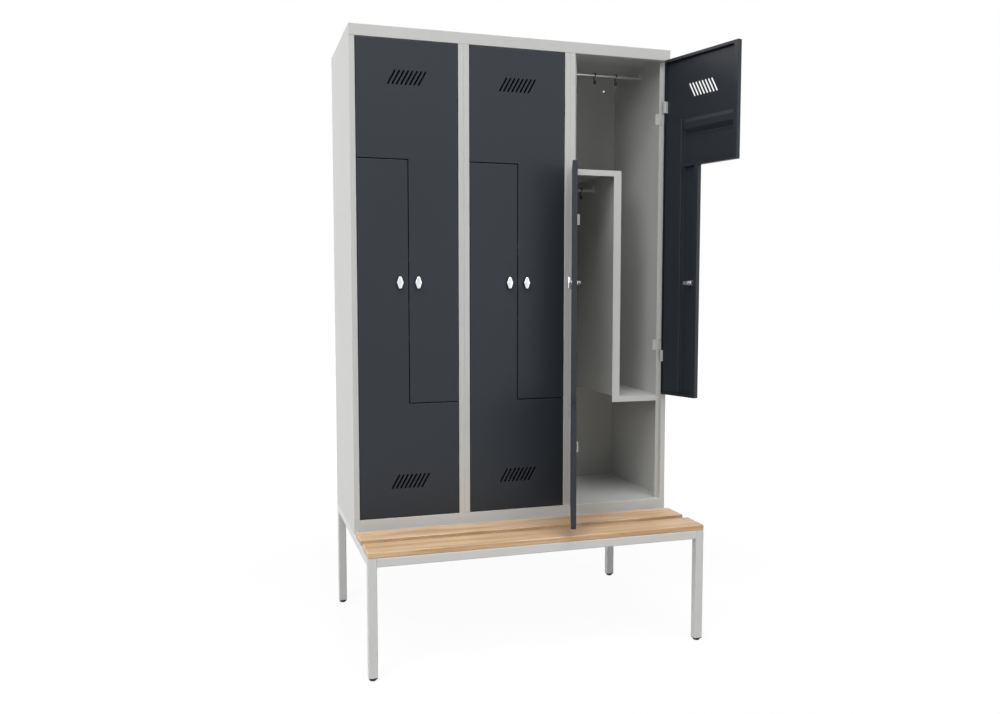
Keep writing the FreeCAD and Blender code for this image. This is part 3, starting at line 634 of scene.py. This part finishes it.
def lockShells(form, centre):
    inset, rise = roundedEdge(form["rim"])
    rosette, plate, barrel = form["rosette"], form["plate"], form["barrel"]
    start, end = form["nutBack"], form["end"]
    threaded = np.arange(start, end - form["chamfer"], form["pitch"] / form["pitchSteps"])
    radii = np.concatenate([[form["bore"], rosette - form["rim"]], (rosette - inset)[::-1],
                            [rosette, barrel, barrel], np.full(len(threaded), barrel),
                            [barrel - form["chamfer"], form["bore"]]])
    depths = np.concatenate([[-plate] * 2, (form["rim"] - plate - rise)[::-1],
                             [0.0, 0.0, start - form["threadStart"]], threaded, [end] * 2])

    # the thread: a triangle wave that climbs one pitch in each turn
    def thread(angle, depth):
        inside = (depth >= start) & (depth < end - form["threadEnd"])
        along = np.mod(depth / form["pitch"] - angle / (2.0 * math.pi), 1.0)
        return inside * -form["thread"] * np.abs(2.0 * along - 1.0)

    body = turned(radii, depths, centre, form["count"], thread)
    nut = hexagonNut(nutForm, form["nutHalf"], barrel + form["nutPlay"], form["sheet"], start, centre)
    return [(body, True), (nut, True)]


# coat hook: an open ring over the rail, a stem at its rear, a bend below and a rounded tip at the front
hookForm = {
    "ring": 0.0084, "opening": 215.0, "drop": 0.026, "bend": 0.007, "tipRise": 0.005,
    "half": 0.002, "thick": 0.0019, "sharp": 0.55, "ends": 0.0025, "endGap": 1.2, "endLeast": 0.01,
    "railRadius": 0.006, "ringSteps": 28, "bendSteps": 22, "stemSteps": 8, "tipSteps": 5, "endSteps": 7,
    "count": 20,
}


# the hook's middle line about the rail's centre, in depth and height: arcs r (cos a, sin a) and straight runs
def hookPath(form):
    over = np.radians(np.linspace(form["opening"], 0.0, form["ringSteps"]))
    under = np.radians(np.linspace(0.0, -180.0, form["bendSteps"]))
    ring = form["ring"] * np.stack([np.cos(over), np.sin(over)], axis=-1)
    low = np.array([0.0, -form["drop"]])
    bend = low + form["bend"] * np.stack([np.cos(under), np.sin(under)], axis=-1)
    stem = ring[-1] + (bend[0] - ring[-1]) * np.linspace(0.0, 1.0, form["stemSteps"])[1:-1, None]
    rise = np.array([0.0, form["tipRise"]])
    tip = bend[-1] + rise * np.linspace(0.0, 1.0, form["tipSteps"])[1:, None]
    return np.concatenate([ring, stem, bend, tip])


# a squared ellipse, half |cos a|^sharp by thick |sin a|^sharp, carried along the path on the path's normal;
# it shrinks over a short length at both ends, which has finer points of its own
def hookShells(form, x, railY, railZ):
    path = hookPath(form)
    run = np.concatenate([[0.0], np.cumsum(np.linalg.norm(np.diff(path, axis=0), axis=1))])
    ends, whole = form["ends"], run[-1]
    clear = ends * form["endGap"]
    softEnd = ends * np.linspace(0.0, 1.0, form["endSteps"])
    fine = np.concatenate([softEnd, run[(run > clear) & (run < whole - clear)], whole - softEnd[::-1]])
    path = np.stack([np.interp(fine, run, path[:, 0]), np.interp(fine, run, path[:, 1])], axis=-1)
    along = np.gradient(path, axis=0)
    along /= np.linalg.norm(along, axis=1, keepdims=True)
    normal = np.stack([-along[:, 1], along[:, 0]], axis=-1)
    away = np.clip(np.minimum(fine, whole - fine) / ends, 0.0, 1.0)
    size = np.sqrt(np.clip(1.0 - (1.0 - away) ** 2, form["endLeast"], 1.0))[:, None]
    angle = np.linspace(0.0, 2.0 * math.pi, form["count"], endpoint=False)[None, :]
    wide = form["half"] * np.sign(np.cos(angle)) * np.abs(np.cos(angle)) ** form["sharp"] * size
    deep = form["thick"] * np.sign(np.sin(angle)) * np.abs(np.sin(angle)) ** form["sharp"] * size
    y = railY + path[:, 0, None] + normal[:, 0, None] * deep
    z = railZ + path[:, 1, None] + normal[:, 1, None] * deep
    return [(np.stack([x + wide, y, z], axis=-1)[:, ::-1], False)]


knobPlace = (doorPlan["knob"], knobZ)
railLow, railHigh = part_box("clothes_rails")
railY = (railLow[1] + railHigh[1]) / 2
railHeights = {"upper": railHigh[2] - hookForm["railRadius"], "lower": railLow[2] + hookForm["railRadius"]}
for column in columnNames:
    for level in levelNames:
        door = column + "_" + level + "_door"
        knob = onDoor(knobShells(knobForm, knobPlace), column, level)
        makePiece(door + "_knob_piece", knob, zinc[column, level], door + "_knob", door + "_turn_knob")
        lock = onDoor(lockShells(lockForm, knobPlace), column, level)
        makePiece(door + "_lock_piece", lock, steel, door, door + "_lock_barrel")
    for hook, level in (("upper_hook_1", "upper"), ("upper_hook_2", "upper"), ("lower_hook", "lower")):
        name = column + "_" + hook
        low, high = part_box(name)
        shells = hookShells(hookForm, (low[0] + high[0]) / 2, railY, railHeights[level])
        makePiece(name + "_piece", shells, plastic, name + "_slider", name)
print("knobs, locks and hooks made")


# floor and world: white to the camera and in reflections, and near the part the floor keeps some shadow
studio = {"floorSize": 60.0, "floorColour": (0.5, 0.5, 0.5), "floorWhite": 0.85, "floorGlow": 1.1,
          "floorFade": (1.2, 3.2), "white": (1.0, 1.0, 1.0), "ambient": 0.01, "lampAim": (0.1, 0.0, 1.2)}


# 1 for the camera's rays and for those that metal or glass sends on, 0 for the others
def seenRays(made):
    names = ("Is Camera Ray", "Is Glossy Ray", "Is Transmission Ray")
    camera, glossy, through = made.outputs(made.node("ShaderNodeLightPath"), names)
    return made.clamp(camera + glossy + through)


def makeFloor(settings):
    half = settings["floorSize"] / 2
    mesh = bpy.data.meshes.new("studio floor")
    corners = [(-half, -half, 0.0), (half, -half, 0.0), (half, half, 0.0), (-half, half, 0.0)]
    mesh.from_pydata(corners, [], [(0, 1, 2, 3)])
    floor = bpy.data.objects.new("studio floor", mesh)
    bpy.context.scene.collection.objects.link(floor)
    made = newFinish("studio floor")
    matt = made.node("ShaderNodeBsdfDiffuse", None, {"Color": settings["floorColour"]})
    glow = {"Color": settings["white"], "Strength": settings["floorGlow"]}
    white = made.node("ShaderNodeEmission", None, glow)
    away = made.node("ShaderNodeVectorMath", {"operation": "LENGTH"}, {0: made.place()}, "Value")
    near = settings["floorWhite"]
    share = near + made.step(away, settings["floorFade"]) * (1.0 - near)
    both = made.node("ShaderNodeMixShader", None, {0: seenRays(made) * share, 1: matt, 2: white})
    mesh.materials.append(made.close(both))


def makeWorld(settings):
    made = Finish(bpy.data.worlds.new("studio"))
    strength = settings["ambient"] + seenRays(made) * (1.0 - settings["ambient"])
    sky = made.node("ShaderNodeBackground", None, {"Color": settings["white"], "Strength": strength})
    bpy.context.scene.world = made.close(sky, "ShaderNodeOutputWorld")


# large soft lamps: two keys from the left front, and others from above, the side, the right and the rear
lamps = [
    {"name": "key", "place": (-6.19, -6.98, 4.62), "size": 4.0, "power": 225.0},
    {"name": "high key", "place": (-4.2, -4.78, 8.86), "size": 5.0, "power": 318.0},
    {"name": "high right", "place": (1.6, -5.1, 9.6), "size": 6.5, "power": 462.0},
    {"name": "side", "place": (-8.0, 3.9, 2.45), "size": 4.0, "power": 345.0},
    {"name": "fill", "place": (6.25, -7.87, 1.72), "size": 5.0, "power": 92.0},
    {"name": "top", "place": (0.1, -2.78, 9.76), "size": 6.0, "power": 101.0},
    {"name": "rear", "place": (0.0, 7.6, 4.6), "size": 1.2, "power": 150.0},
]


def makeLamp(settings, aim):
    data = bpy.data.lights.new(settings["name"], "AREA")
    data.shape = "DISK"
    data.size = settings["size"]
    data.energy = settings["power"]
    lamp = bpy.data.objects.new(settings["name"], data)
    lamp.location = settings["place"]
    lamp.rotation_euler = (Vector(aim) - lamp.location).to_track_quat("-Z", "Y").to_euler()
    bpy.context.scene.collection.objects.link(lamp)


# the photograph's viewpoint, as fitted to the edges of the locker
viewpoint = {"place": (-1.018, -3.2005, 1.2566), "yaw": 0.29718, "pitch": -0.07398, "lens": 32.355,
             "sensor": 36.0}


def makeCamera(settings):
    data = bpy.data.cameras.new("viewpoint")
    data.sensor_width = settings["sensor"]
    data.sensor_fit = "HORIZONTAL"
    data.lens = settings["lens"]
    camera = bpy.data.objects.new("viewpoint", data)
    camera.location = settings["place"]
    camera.rotation_euler = (math.pi / 2 + settings["pitch"], 0.0, -settings["yaw"])
    bpy.context.scene.collection.objects.link(camera)
    bpy.context.scene.camera = camera


makeFloor(studio)
makeWorld(studio)
for lamp in lamps:
    makeLamp(lamp, studio["lampAim"])
makeCamera(viewpoint)
bpy.context.scene.view_settings.view_transform = "Standard"
print("studio set")
